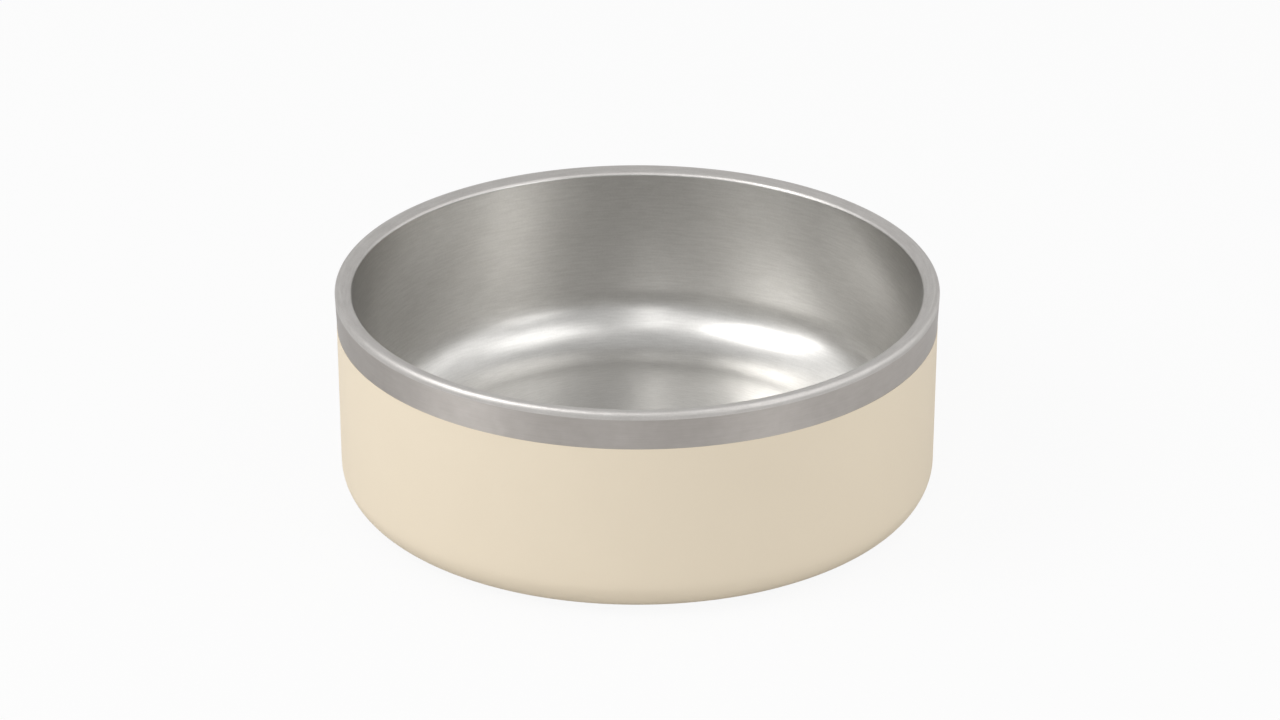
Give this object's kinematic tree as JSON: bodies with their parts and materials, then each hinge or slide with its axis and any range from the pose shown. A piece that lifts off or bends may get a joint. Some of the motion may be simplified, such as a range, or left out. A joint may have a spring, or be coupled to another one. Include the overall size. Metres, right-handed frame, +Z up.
{
  "type": "dog bowl",
  "caption": "Round insulated steel dog bowl, satin inside, with a rounded lip, a bare brushed band under it, a matte coated outside and a rubber foot ring.",
  "frame": {"origin": "centre of the foot ring's underside, on the floor", "axes": "+Z up along the bowl's axis; the bowl is round, so X and Y are free"},
  "size_m": [0.206, 0.206, 0.076],
  "materials": {
    "satin_steel": "satin",
    "band_steel": "brushed round the axis",
    "cream_coat": "matte powder coat",
    "foot_rubber": "matte",
    "bond_film": "matte"
  },
  "bodies": {
    "root": {"inner_bowl": "satin_steel", "outer_shell": "band_steel", "rim_weld": "satin_steel", "powder_coat": "cream_coat", "foot_ring": "foot_rubber", "foot_adhesive": "bond_film", "vent_plug": "foot_rubber"}
  },
  "joints": []
}
